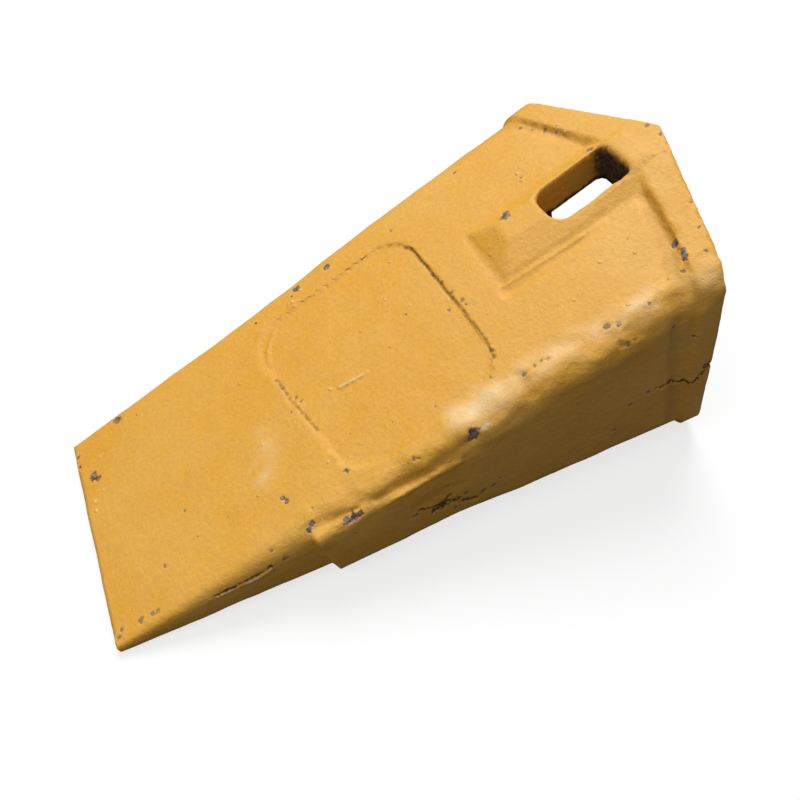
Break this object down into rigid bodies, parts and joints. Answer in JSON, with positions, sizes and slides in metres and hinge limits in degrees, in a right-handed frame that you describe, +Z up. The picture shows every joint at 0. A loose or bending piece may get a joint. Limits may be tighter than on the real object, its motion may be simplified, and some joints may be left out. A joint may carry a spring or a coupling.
{
  "type": "bucket tooth",
  "caption": "One-piece cast wedge tooth for a digging bucket, with a blunt blade, a tapered nose socket and an upright pin slot under a raised boss.",
  "frame": {"origin": "centre of the footprint, on the level that the tooth rests on", "axes": "+X from the tip towards the socket's mouth, +Y across the tooth, +Z up as it lies on its lower lands"},
  "size_m": [0.2868, 0.1394, 0.1176],
  "materials": {
    "painted_steel": "ochre yellow paint, satin, brushed over a rough steel casting, chipped to brown primer and bare metal"
  },
  "bodies": {
    "root": {"tooth_casting": "painted_steel"}
  },
  "joints": []
}
